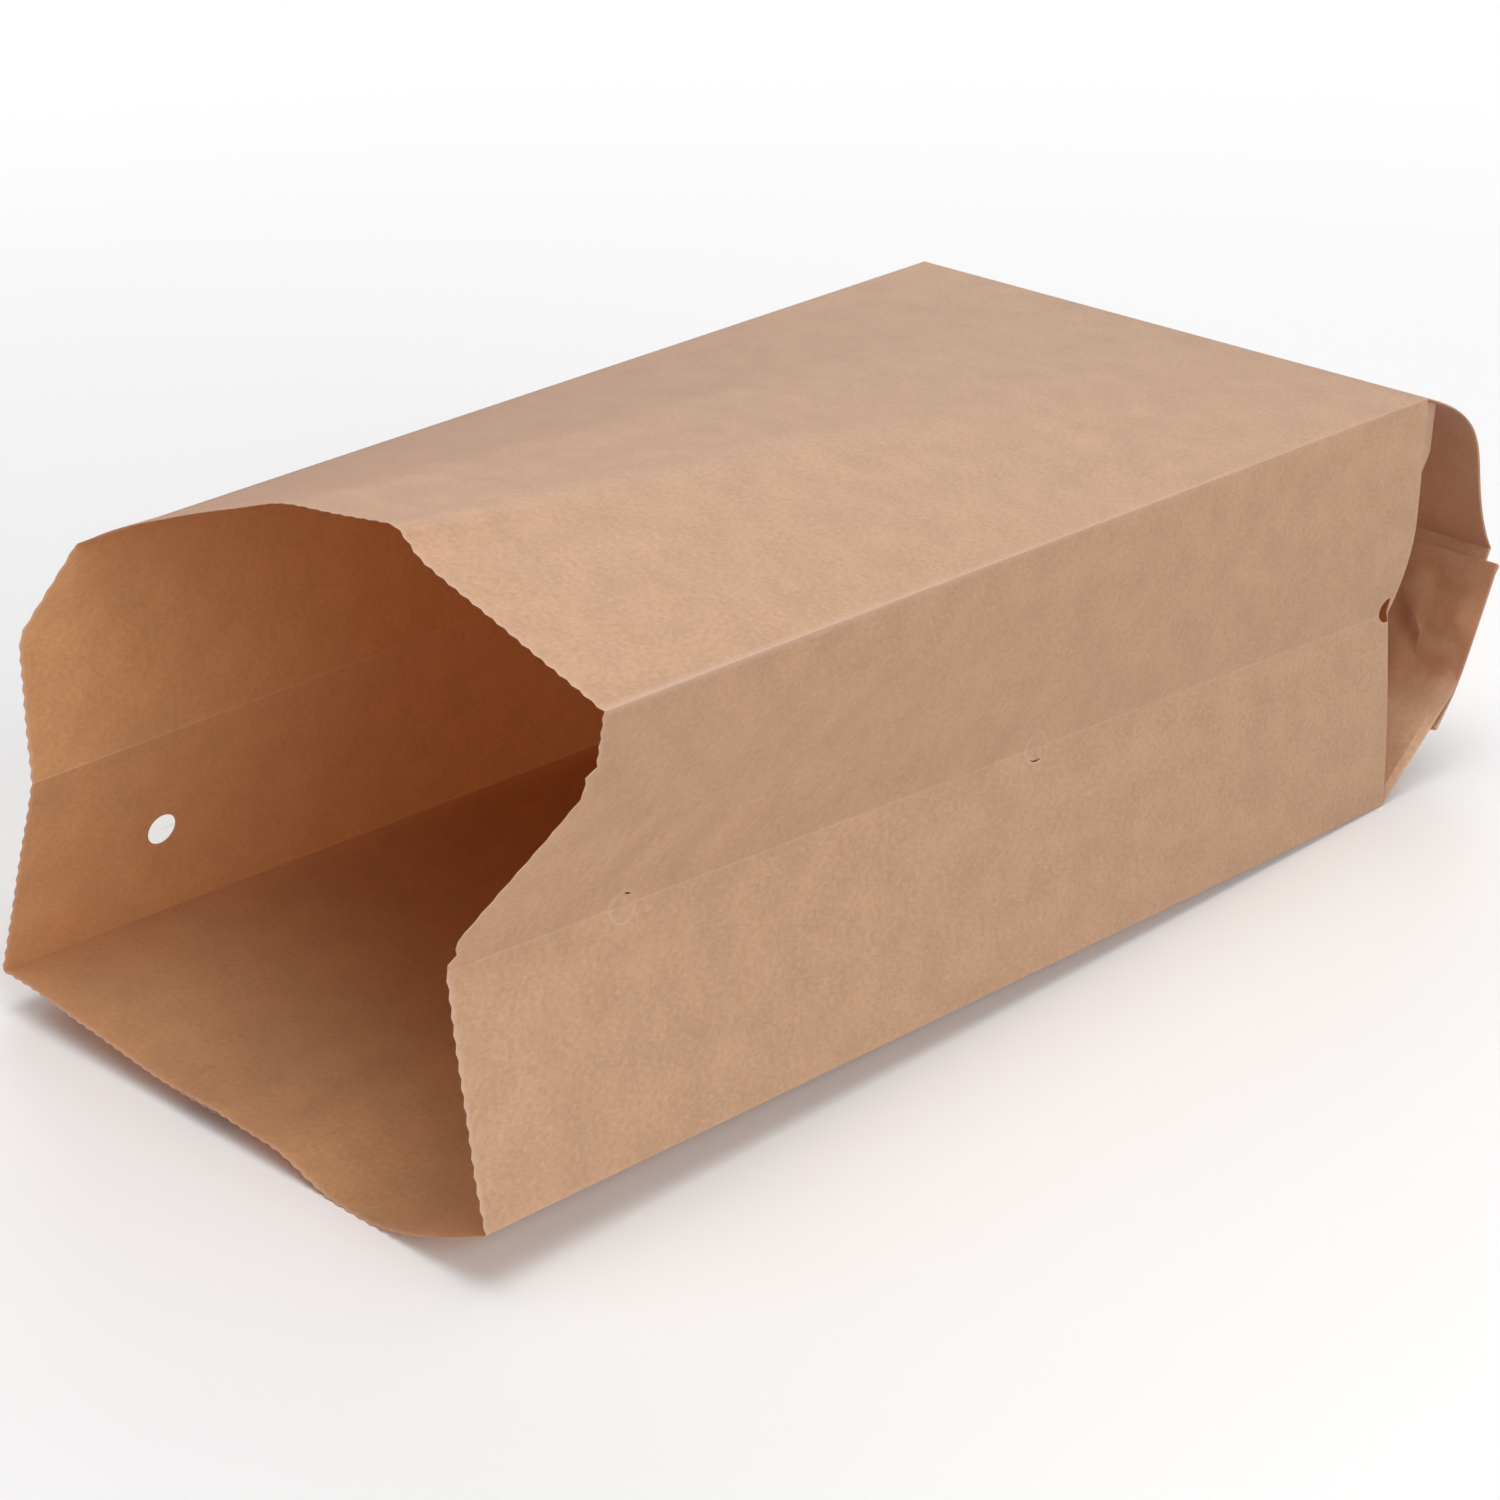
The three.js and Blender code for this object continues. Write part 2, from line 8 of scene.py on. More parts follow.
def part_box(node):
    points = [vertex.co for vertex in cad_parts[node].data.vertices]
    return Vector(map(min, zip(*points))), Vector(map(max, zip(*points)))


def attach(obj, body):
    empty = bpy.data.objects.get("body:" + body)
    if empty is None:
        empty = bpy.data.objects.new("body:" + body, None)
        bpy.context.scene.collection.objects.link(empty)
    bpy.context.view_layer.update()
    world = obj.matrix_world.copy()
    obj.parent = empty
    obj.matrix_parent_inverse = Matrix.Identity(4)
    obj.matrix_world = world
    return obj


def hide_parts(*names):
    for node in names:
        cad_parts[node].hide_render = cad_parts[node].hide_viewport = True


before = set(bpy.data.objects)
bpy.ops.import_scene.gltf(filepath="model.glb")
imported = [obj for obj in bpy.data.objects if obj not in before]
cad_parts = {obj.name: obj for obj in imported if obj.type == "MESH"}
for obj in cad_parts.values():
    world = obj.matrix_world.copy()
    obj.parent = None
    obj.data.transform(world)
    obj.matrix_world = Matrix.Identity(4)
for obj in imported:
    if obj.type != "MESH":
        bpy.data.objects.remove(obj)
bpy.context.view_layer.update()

# The bag: one sheet of kraft paper, folded into a tube with two side gussets and glued along its back.
# Both ends are cut with the same toothed knife. The far end is pinched shut, folded over and glued.
# All lengths of this section are millimetres, with the mouth's edge at y = 0 and the table at z = 0.
PAPER = 0.1
PITCH = 0.3  # from layer to layer where they lie on each other
PANEL_WIDTH = 130.0
HALF_WIDTH = PANEL_WIDTH / 2
HALF_GUSSET = 41.0
BACK_LENGTH = 236.0
SEAM_OVERLAP = 12.0
SEAM_OFFSET = 9.0  # middle of the glued lap, from the middle of the back panel to the far side
SEAM_NEAR = SEAM_OVERLAP / 2 - SEAM_OFFSET
SEAM_FAR = -SEAM_OVERLAP / 2 - SEAM_OFFSET
SEAM_STEP = 4.0  # width over which the upper edge of the lap comes down again
BACK_LAYER, LOWER_LAYER, UPPER_LAYER, FRONT_LAYER = 0.0, 1.0, 2.0, 3.0


def lerp(a, b, part):
    """Straight mix of a and b."""
    return a + (b - a) * part


def ease(low, high, value):
    """Smooth step from 0 below low to 1 above high, with level ends."""
    part = np.clip((value - low) / (high - low), 0.0, 1.0)
    return part * part * (3.0 - 2.0 * part)


def outline(corners, place):
    """Value at a place on straight stretches between corners, each a pair of a place and its value."""
    return np.interp(place, *np.transpose(corners))


def points(x, y, z):
    """Grid of points from its x, y and z, which may each be a row, a column or a whole grid."""
    return np.stack(np.broadcast_arrays(x, y, z), axis=-1)


# The toothed cut: two columns of the grid to a tooth, and one close to each side of every fold. In the
# gussets it is set back from the mouth's edge, by outlines of distance from the top fold and setback there.
TOOTH_PITCH = 2.7
TOOTH_DEPTH = 0.35
FOLD_EDGE = 0.35  # from a fold to the columns close to it
LIP = 20.0  # by how much the front panel stands out past the back panel in the folded strip
NEAR_TOP_SETBACK = 24.6
NEAR_CENTRE_SETBACK = 4.4
NEAR_LOWER_CURVE = 1.3
FAR_TOP_SETBACK = 18.3
FAR_CENTRE_SETBACK = 2.3
NEAR_CUT = [
    (0.0, NEAR_TOP_SETBACK),
    (11.2, 26.4),
    (11.7, 24.6),
    (15.9, 24.9),
    (35.5, 5.2),
    (38.7, 5.7),
    (39.2, 4.5),
    (HALF_GUSSET, NEAR_CENTRE_SETBACK),
]
FAR_CUT = [(0.0, FAR_TOP_SETBACK), (13.0, 5.0), (16.0, 4.2), (HALF_GUSSET, FAR_CENTRE_SETBACK)]


def across_panel(width):
    """Distances across a panel from fold to fold, and the height of the teeth there, from 0 to 1."""
    half_teeth = 2 * round(width / TOOTH_PITCH)
    phase = np.arange(half_teeth + 1.0)
    close = FOLD_EDGE / width * half_teeth
    phase = np.sort(np.append(phase, [close, half_teeth - close]))
    return phase / half_teeth * width, 1.0 - np.abs(phase % 2.0 - 1.0)


front_across, front_teeth = across_panel(PANEL_WIDTH)
front_share = front_across / PANEL_WIDTH
gusset_across, gusset_teeth = across_panel(HALF_GUSSET)
gusset_share = gusset_across / HALF_GUSSET
near_upper_cut = outline(NEAR_CUT, gusset_across)
near_lower_cut = NEAR_CENTRE_SETBACK * gusset_share**NEAR_LOWER_CURVE
far_upper_cut = outline(FAR_CUT, gusset_across)
far_lower_cut = FAR_CENTRE_SETBACK * gusset_across / HALF_GUSSET

# Rows of the grid: along the opened tube, up or down the end flaps, over the pinch, down the strip
BOX_ROWS = 84
GUSSET_STEPS = 30
PINCH_ROWS = 6
STRIP_ROWS = 16
ROW_CROWDING = 0.75  # how much the tube's rows crowd towards its two ends
steps = np.linspace(0.0, 1.0, BOX_ROWS + 1)[:, None]
closed = lerp(steps, 0.5 - 0.5 * np.cos(np.pi * steps), ROW_CROWDING)
opened = 1.0 - closed
flap_rows = np.linspace(0.0, 1.0, GUSSET_STEPS + 1)[1:, None]
pinch_rows = np.linspace(0.0, 1.0, PINCH_ROWS + 1)[:, None]
strip_rows = np.linspace(0.0, 1.0, STRIP_ROWS + 1)[1:, None]

# The opened tube. Its fold lines run straight from the mouth to the closed end: x and z at either end.
NEAR_BOTTOM = ((66.5, 10.4), (65.0, 0.0))
NEAR_CENTRE = ((55.0, 49.2), (63.6, 41.0))
NEAR_TOP = ((69.0, 89.2), (64.6, 83.0))
FAR_TOP = ((-53.6, 84.3), (-65.2, 83.0))
FAR_CENTRE = ((-49.4, 46.8), (-63.5, 41.2))
FAR_BOTTOM = ((-61.6, 7.5), (-65.0, 0.0))


def fold_line(mouth, end):
    """Straight fold line along the tube, as columns of x and z."""
    return lerp(mouth[0], end[0], closed), lerp(mouth[1], end[1], closed)


near_bottom, near_centre, near_top = fold_line(*NEAR_BOTTOM), fold_line(*NEAR_CENTRE), fold_line(*NEAR_TOP)
far_bottom, far_centre, far_top = fold_line(*FAR_BOTTOM), fold_line(*FAR_CENTRE), fold_line(*FAR_TOP)

# The front panel rises from its near fold and comes down over two soft creases, the first with a short lip at
# the mouth. Places and widths are shares of the panel's width, and a fade is a power of the tube's openness.
NEAR_SLOPE = np.radians(19.0)
NEAR_CREASE = 0.362
NEAR_CREASE_TURN = np.radians(26.0)
CREASE_LIP_WIDTH = 0.05
CREASE_LIP_TURN = np.radians(19.0)
CREASE_LIP_FADE = 12
FAR_CREASE = 0.565
FAR_CREASE_END = 0.67
FAR_CREASE_WIDTH = 0.05
FAR_CREASE_TURN = np.radians(13.0)
FAR_CREASE_FADE = 0.7
FAR_CURL = np.radians(7.0)
FAR_CURL_SPAN = (0.75, 0.95)
CREASE_WIDTH_MOUTH = 0.012
CREASE_WIDTH_END = 0.06
CREASE_WIDENING = 0.5


def crease_turn(place, width):
    """How much of a crease's turn is done across the front panel: 0 before its place and 1 past it."""
    return ease(place - width, place + width, front_share)


crease_width = lerp(CREASE_WIDTH_MOUTH, CREASE_WIDTH_END, closed**CREASE_WIDENING)
near_turn = crease_turn(NEAR_CREASE, crease_width)
lip_turn = crease_turn(NEAR_CREASE - CREASE_LIP_WIDTH, crease_width)
far_turn = crease_turn(lerp(FAR_CREASE, FAR_CREASE_END, closed), FAR_CREASE_WIDTH)
slope = NEAR_SLOPE - NEAR_CREASE_TURN * near_turn - FAR_CURL * ease(*FAR_CURL_SPAN, front_share)
slope = slope * opened + CREASE_LIP_TURN * opened**CREASE_LIP_FADE * (lip_turn - near_turn)
slope = slope - FAR_CREASE_TURN * far_turn * opened**FAR_CREASE_FADE
slope = (slope[:, 1:] + slope[:, :-1]) / 2
bend = np.cumsum(np.exp(1j * slope) * np.diff(front_across), axis=1)
bend = np.concatenate([0j * opened, bend], axis=1)
chord = np.abs(bend[:, -1:])
bend = bend * np.conj(bend[:, -1:]) / chord

# The back panel lies on a level rest strip, with a low hump beside it, and curls up to its folds at the
# mouth. The gussets are straight from fold to fold there, and bellied at the closed end.
NEAR_CURL_START = 37.0
NEAR_CURL_POWER = 1.5
HUMP_HEIGHT = 3.8
HUMP_START = 30.0
HUMP_FULL = 13.0
HUMP_FADE = 1.5
FAR_RISE_START = -8.0
LOWER_END_BELLY = 0.4
UPPER_END_BELLY = 1.6
BELLY_GROWTH = 1.5


def box_rows(x, z, setback, end_shift, teeth):
    """Rows of a panel along the opened tube: the first follows the teeth, and the rest run evenly to the
    end fold."""
    y = lerp(setback + TOOTH_DEPTH, BACK_LENGTH + end_shift, closed)
    y[0] = setback + TOOTH_DEPTH * (1.0 - teeth)
    return points(x, y, z)


def box_back(across):
    """Section of the back panel: level in its rest strip, curling up to the near fold, and stepping up to a
    low hump on the other side, from which it rises slowly to the far fold."""
    x = lerp(far_bottom[0], near_bottom[0], across / PANEL_WIDTH + 0.5)
    near_part = np.clip((x - NEAR_CURL_START) / (near_bottom[0] - NEAR_CURL_START), 0.0, 1.0)
    far_part = np.clip((FAR_RISE_START - x) / (FAR_RISE_START - far_bottom[0]), 0.0, 1.0)
    near_curl = near_bottom[1] * near_part**NEAR_CURL_POWER
    hump = HUMP_HEIGHT * opened**HUMP_FADE * ease(-HUMP_START, -HUMP_FULL, -x) * (1.0 - far_part)
    far_rise = far_bottom[1] * (0.5 * far_part + 0.5 * ease(0.0, 1.0, far_part))
    return x, near_curl + hump + far_rise


def box_gusset(edge, centre, side, upper):
    """Section of half a gusset: straight from edge fold to centre fold at the mouth, bellied at the end."""
    end_belly = UPPER_END_BELLY if upper else LOWER_END_BELLY
    belly = side * end_belly * closed**BELLY_GROWTH * np.sin(np.pi * gusset_share)
    return lerp(edge[0], centre[0], gusset_share) + belly, lerp(edge[1], centre[1], gusset_share)


# The closed end: both panels turn in as flaps, lined by the gussets up to a diagonal crease. They meet
# in the pinch, where the back flap turns over in a hairpin, and the strip of all layers is glued down on it.
NEAR_OVERHANG = 4.6
FAR_OVERHANG = 8.0
CENTRE_PULL = 1.6
END_DIP = 1.8
END_DIP_SHARE = 0.3
NEAR_END_TURN = 0.6
FAR_END_TURN = 0.17
BEND = (21.8, 19.8)
BEND_PULL = 4  # how many of the back flap's curve points lie in its bend
PINCH = (30.5, 42.5)
SHOULDER = (29.3, -10.8)
FLAP_LEAN = (-12.8, 20.0)
POCKET_NECK = 3.0
STRIP = 15.0
BACK_SKEW = 2.4
FRONT_SKEW = -1.0
MIDDLE_SKEW = (BACK_SKEW + FRONT_SKEW) / 2
STRIP_SKEW = 2.6
SLOT_GAP = 0.4
CURVE_POINTS = 400


def bezier(*corners):
    """Bezier curve in y and z as close points, with their distances along it."""
    part = np.linspace(0.0, 1.0, CURVE_POINTS)[:, None, None]
    level = np.array(corners)[None]
    while level.shape[1] > 1:
        level = lerp(level[:, :-1], level[:, 1:], part)
    line = level[:, 0]
    reach = np.append(0.0, np.cumsum(np.hypot(*np.diff(line, axis=0).T)))
    return line, reach


def along(curve, distance, offset):
    """Point at a distance along a curve, moved by an offset to the right of its direction."""
    line, reach = curve
    tangent = np.gradient(line, reach, axis=0)
    y, z, dy, dz = (np.interp(distance, reach, values) for values in (*line.T, *tangent.T))
    return y + offset * dz, z - offset * dy


end_corner = np.array([BACK_LENGTH, 0.0])
pinch = end_corner + PINCH
pinch_up = np.subtract(PINCH, BEND) / np.hypot(*np.subtract(PINCH, BEND))
pinch_out = np.array([pinch_up[1], -pinch_up[0]])
foot = pinch + pinch_out * ((1 + FRONT_LAYER) * PITCH + SLOT_GAP) + pinch_up * POCKET_NECK
front_fold = np.array([BACK_LENGTH + NEAR_OVERHANG, NEAR_TOP[1][1]])
back_flap = bezier(end_corner, *[end_corner + BEND] * BEND_PULL, pinch)
front_flap = bezier(front_fold, front_fold + SHOULDER, foot + FLAP_LEAN, foot)
back_reach = back_flap[1][-1]
front_reach = front_flap[1][-1]


def flap_line(upper, layer, share):
    """Profile of a layer on the front or back flap, from the end fold at share 0 to the pocket's neck at
    share 1."""
    if upper:
        return along(front_flap, (front_reach - POCKET_NECK) * share, (FRONT_LAYER - layer) * PITCH)
    return along(back_flap, (back_reach - POCKET_NECK) * share, -layer * PITCH)


def pinch_line(upper, layer):
    """Profile of a layer in the pinch: the front's layers pass straight, and the back's turn over in a half
    circle."""
    if upper:
        out = (1 + layer) * PITCH + SLOT_GAP * (1.0 - pinch_rows)
        up = POCKET_NECK * (1.0 - pinch_rows)
    else:
        out = PITCH / 2 - (layer + 0.5) * PITCH * np.cos(np.pi * pinch_rows)
        up = (layer + 0.5) * PITCH * np.sin(np.pi * pinch_rows)
    return pinch[0] + out * pinch_out[0] + up * pinch_up[0], pinch[1] + out * pinch_out[1] + up * pinch_up[1]


def strip_line(layer, setback, teeth):
    """Profile of a layer of the strip, down the outside of the back flap to the toothed cut."""
    length = (STRIP + setback) * strip_rows
    length[-1] = STRIP + setback - TOOTH_DEPTH * (1.0 - teeth)
    return along(back_flap, back_reach - length, (1 + layer) * PITCH)


def closing_rows(upper, layer, x, setback, teeth):
    """Rows of a panel over the pinch and down the strip."""
    over = points(x, *pinch_line(upper, layer))
    skew = STRIP_SKEW if upper else -STRIP_SKEW
    down = points(x + skew * strip_rows, *strip_line(layer, setback, teeth))
    return np.concatenate([over, down])


def back_panel(across, layer, teeth):
    """The back panel between two of its lines, through all rows."""
    x, z = box_back(across)
    tube = box_rows(x, z + layer * PITCH, 0.0 * across, 0.0 * across, teeth)
    flap = points(across + BACK_SKEW * flap_rows, *flap_line(False, layer, flap_rows))
    return np.concatenate([tube, flap, closing_rows(False, layer, across + BACK_SKEW, 0.0 * across, teeth)])


def overhang(far_share):
    """How much further the front's end fold stands out and up there than at its near corner."""
    return (FAR_OVERHANG - NEAR_OVERHANG) * far_share, (FAR_TOP[1][1] - NEAR_TOP[1][1]) * far_share


def front_panel():
    """The front panel through all rows."""
    across = HALF_WIDTH - front_across
    x = lerp(near_top[0], far_top[0], bend.real / chord)
    z = lerp(near_top[1], far_top[1], bend.real / chord) + bend.imag
    out, up = overhang(front_share)
    setback = lerp(NEAR_TOP_SETBACK, FAR_TOP_SETBACK, front_share)
    tube = box_rows(x, z, setback, NEAR_OVERHANG + out, front_teeth)
    layer = np.full_like(across, FRONT_LAYER)
    layer[[0, -1]] = (UPPER_LAYER + FRONT_LAYER) / 2
    flap_y, flap_z = flap_line(True, layer, flap_rows)
    flap_x = lerp(x[-1], across + FRONT_SKEW, flap_rows)
    flap = points(flap_x, flap_y + out * (1.0 - flap_rows), flap_z + up * (1.0 - flap_rows))
    closing = closing_rows(True, layer, across + FRONT_SKEW, LIP + 0.0 * across, front_teeth)
    return np.concatenate([tube, flap, closing])


def end_edge(upper, far_share):
    """How far half a gusset's end fold stands out from the back panel's, from the edge fold to the centre
    fold."""
    if not upper:
        return -CENTRE_PULL * gusset_share
    edge = NEAR_OVERHANG + overhang(far_share)[0]
    turn_start = lerp(NEAR_END_TURN, FAR_END_TURN, far_share)
    turn = np.clip((gusset_share - turn_start) / (1.0 - turn_start), 0.0, 1.0) ** 2
    return edge - END_DIP * ease(0.0, END_DIP_SHARE, gusset_share) - (edge - END_DIP + CENTRE_PULL) * turn


# Small forms of the end pockets: a rim and a crumple of the lower linings, and a ledge of the upper ones.
# Shares run down the flap from its end fold, or across the gusset from its edge fold.
RIM_RISE = 0.9
RIM_WIDTH = 1.0
RIM_START = 0.08
RIM_END = 0.45
CRUMPLE_RISE = 1.7
CRUMPLE_LINE = [(0.0, 0.70), (0.1, 0.70), (0.27, 0.63), (0.47, 0.80)]
CRUMPLE_PROFILE = [
    (-0.5, 0.0),
    (-0.16, 0.7),
    (-0.04, 0.2),
    (0.0, 0.05),
    (0.04, 0.3),
    (0.1, 0.85),
    (0.3, 0.0),
]
CRUMPLE_MARGIN = 4.0
CRUMPLE_FADE = (0.3, 0.5)
LEDGE_LEAN = 0.33
LEDGE_DEPTH = (0.12, 0.25)
LEDGE_START = 0.1
LEDGE_END = 0.43
FORM_FADE = 0.1  # share over which a rim or a ledge runs out


def rim_rise():
    """Rise of a lower gusset's lining off the back flap: the fold between them springs open into a narrow
    rim."""
    down_flap = ease(0.0, RIM_START, flap_rows) * (1.0 - ease(RIM_END - FORM_FADE, RIM_END, flap_rows))
    return RIM_RISE * np.clip(gusset_across / RIM_WIDTH, 0.0, 1.0) * down_flap


def crumple_rise():
    """Rise of the near gusset's lining at a crumple: a bent valley line, with the paper standing up on both
    sides of it."""
    valley = outline(CRUMPLE_LINE, gusset_share)
    beside = outline(CRUMPLE_PROFILE, flap_rows - valley)
    across = ease(0.0, CRUMPLE_MARGIN, gusset_across) * (1.0 - ease(*CRUMPLE_FADE, gusset_share))
    return CRUMPLE_RISE * beside * across


def ledge_part():
    """How much an upper gusset stays a narrow ledge just past its end fold: below the corner, down to a
    dent."""
    past_dent = ease(LEDGE_END - FORM_FADE, LEDGE_END, gusset_share)
    down_fold = ease(0.0, LEDGE_START, gusset_share) * (1.0 - past_dent)
    return (1.0 - ease(*LEDGE_DEPTH, flap_rows)) * down_fold


def gusset_flap(side, upper, edge, centre, tube_end, edge_layer):
    """Half a gusset on the end flap. It lines the flap as far as the diagonal crease, where the share across
    it equals the share down the flap, and spans the end from there to the line of its centre fold."""
    far_share = 0.5 - 0.5 * side
    out, up = overhang(far_share if upper else 0.0)
    out, up = out * (1.0 - flap_rows), up * (1.0 - flap_rows)
    edge_skew = FRONT_SKEW if upper else BACK_SKEW
    inner_layer = UPPER_LAYER if upper else LOWER_LAYER
    lining = np.minimum(gusset_share, flap_rows)
    edge_x = lerp(edge[0][-1, 0], side * HALF_WIDTH, flap_rows)
    lined_x = edge_x - side * HALF_GUSSET * lining + lerp(edge_skew, MIDDLE_SKEW, lining) * flap_rows
    rise = 0.0 if upper else (rim_rise() + (side > 0) * crumple_rise()) / PITCH
    lined_y, lined_z = flap_line(upper, inner_layer + rise, flap_rows)
    lined = points(lined_x, lined_y + out, lined_z + up)

    apex_sides = [flap_line(True, UPPER_LAYER, 1.0), flap_line(False, LOWER_LAYER, 1.0)]
    apex = np.append(side * (HALF_WIDTH - HALF_GUSSET) + MIDDLE_SKEW, np.mean(apex_sides, axis=0))
    start = np.array([centre[0][-1, 0], BACK_LENGTH - CENTRE_PULL, centre[1][-1, 0]])
    ridge = lerp(start, apex, flap_rows[..., None])
    spanning = (gusset_share - lining) / np.maximum(1.0 - lining, 1e-6)
    spanning[:, -1] = 1.0
    flap = lerp(lined, ridge, spanning[..., None])

    ledge_x = tube_end[:, 0] - side * LEDGE_LEAN * (flap[..., 1] - tube_end[:, 1])
    flap[..., 0] = lerp(flap[..., 0], ledge_x, upper * ledge_part())
    edge_y, edge_z = flap_line(upper, edge_layer, flap_rows)
    flap[:, :1] = points(edge_x + edge_skew * flap_rows, edge_y + out, edge_z + up)
    return flap


def pinch_column(x, upper):
    """The column of a gusset's centre fold through the pinch, on its upper or its lower layer."""
    return points(x, *pinch_line(upper, UPPER_LAYER if upper else LOWER_LAYER))[:, 0]


def gusset_half(side, upper, edge, centre, setback):
    """Half a gusset through all rows, from its edge fold to its centre fold."""
    section = box_gusset(edge, centre, side, upper)
    tube = box_rows(*section, setback, end_edge(upper, 0.5 - 0.5 * side), gusset_teeth)
    layer = np.full_like(gusset_share, UPPER_LAYER if upper else LOWER_LAYER)
    layer[0] = (UPPER_LAYER + FRONT_LAYER) / 2 if upper else (BACK_LAYER + LOWER_LAYER) / 2
    layer[-1] = (LOWER_LAYER + UPPER_LAYER) / 2
    flap = gusset_flap(side, upper, edge, centre, tube[-1], layer[0])
    skew = lerp(FRONT_SKEW if upper else BACK_SKEW, MIDDLE_SKEW, gusset_share)
    x = side * (HALF_WIDTH - gusset_across) + skew
    over = points(x, *pinch_line(upper, layer))
    over[:, -1] = (pinch_column(x[-1], True) + pinch_column(x[-1], False)) / 2
    strip_setback = LIP * upper * (1.0 - gusset_share)
    strip_skew = lerp(STRIP_SKEW if upper else -STRIP_SKEW, 0.0, gusset_share)
    down = points(x + strip_skew * strip_rows, *strip_line(layer, strip_setback, gusset_teeth))
    return np.concatenate([tube, flap, over, down])


# The whole sheet, panel by panel from one long edge of the glued lap round to the other
NEAR_LOWER, NEAR_UPPER, FRONT, FAR_UPPER, FAR_LOWER = 2, 3, 4, 5, 6
lap, lap_teeth = across_panel(SEAM_OVERLAP)
to_near, to_near_teeth = across_panel(HALF_WIDTH - SEAM_NEAR)
to_seam, to_seam_teeth = across_panel(SEAM_NEAR + HALF_WIDTH)
near_layer = 1.0 - np.clip(to_near / SEAM_STEP, 0.0, 1.0)
near_layer[-1] = (BACK_LAYER + LOWER_LAYER) / 2
far_layer = 0.0 * to_seam
far_layer[0] = (BACK_LAYER + LOWER_LAYER) / 2
panels = [
    back_panel(SEAM_FAR + lap, 1.0 + 0.0 * lap, lap_teeth),
    back_panel(SEAM_NEAR + to_near, near_layer, to_near_teeth),
    gusset_half(1, False, near_bottom, near_centre, near_lower_cut),
    gusset_half(1, True, near_top, near_centre, near_upper_cut)[:, ::-1],
    front_panel(),
    gusset_half(-1, True, far_top, far_centre, far_upper_cut),
    gusset_half(-1, False, far_bottom, far_centre, far_lower_cut)[:, ::-1],
    back_panel(to_seam - HALF_WIDTH, far_layer, to_seam_teeth),
]
sheet = np.concatenate([panels[0]] + [panel[:, 1:] for panel in panels[1:]], axis=1)
panel_starts = np.cumsum([0] + [panel.shape[1] - 1 for panel in panels])
row_count, column_count = sheet.shape[:2]

# The paper's two skins. Slow waves of the sheet fade out towards its folds and the glued end.
MM = 0.001
WAVE_HEIGHT = 0.22
WAVE_LENGTHS = [(61.0, 83.0), (37.0, 52.0), (23.0, 29.0)]
WAVE_SHIFT = 0.31
WAVE_END_FADE = 0.12
WAVE_FOLD_FADE = 9.0
WRINKLE_HEIGHT = 0.4
WRINKLE_LENGTH = 13.0
WRINKLE_PLACE = (222.0, 14.0)
WRINKLE_REACH = 9.0
LENGTH_COLUMN = 20  # column of the front panel along which the sheet's length is measured
steps_across = np.diff(sheet[BOX_ROWS // 2], axis=0)
steps_along = np.diff(sheet[:, panel_starts[FRONT] + LENGTH_COLUMN], axis=0)
paper_across = np.append(0.0, np.cumsum(np.linalg.norm(steps_across, axis=1)))
paper_along = np.append(0.0, np.cumsum(np.linalg.norm(steps_along, axis=1)))
fold_places = paper_across[panel_starts[NEAR_LOWER:-1]]
fold_distance = np.min(np.abs(paper_across[:, None] - fold_places), axis=1)


def skin_normals(grid):
    """Unit normals of a grid, outwards on the bag: cross product of its steps from row to row and across."""
    normal = np.cross(np.gradient(grid, axis=0), np.gradient(grid, axis=1))
    return normal / np.maximum(np.linalg.norm(normal, axis=2, keepdims=True), 1e-9)


def waves():
    """Sum of slow sine waves across and along the flat sheet, which die away at the folds and the glued
    end."""
    along_sheet = paper_along[:, None]
    total = sum(
        np.sin(2 * np.pi * (paper_across / across + k * along_sheet / along_length))
        * np.cos(2 * np.pi * (along_sheet / along_length - WAVE_SHIFT * k))
        for k, (across, along_length) in enumerate(WAVE_LENGTHS, start=1)
    )
    tube_part = ease(0.0, WAVE_END_FADE, opened)
    calm = np.concatenate([tube_part, np.zeros((row_count - BOX_ROWS - 1, 1))])
    return WAVE_HEIGHT * calm * ease(0.0, WAVE_FOLD_FADE, fold_distance) * total / len(WAVE_LENGTHS)


def corner_wrinkles():
    """Short slanted ripples on the near gusset, dying away from a place below its corner at the closed
    end."""
    from_end = sheet[..., 1] - WRINKLE_PLACE[0]
    from_top = paper_across[panel_starts[FRONT]] - paper_across - WRINKLE_PLACE[1]
    fading = np.exp(-(from_end**2 + from_top**2) / (2 * WRINKLE_REACH**2))
    return WRINKLE_HEIGHT * fading * np.sin(2 * np.pi * (from_end - from_top) / WRINKLE_LENGTH)


sheet = sheet + skin_normals(sheet) * (waves() + corner_wrinkles())[..., None]
outward = skin_normals(sheet) * PAPER / 2
skins = np.stack([sheet + outward, sheet - outward])
bag_low, bag_high = (np.array(corner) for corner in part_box("paper_bag"))
skins_low, skins_high = skins.min(axis=(0, 1, 2)) * MM, skins.max(axis=(0, 1, 2)) * MM
mouth_place = (bag_low + bag_high - skins_low - skins_high) / 2
mouth_place[2] = bag_low[2] - skins_low[2]

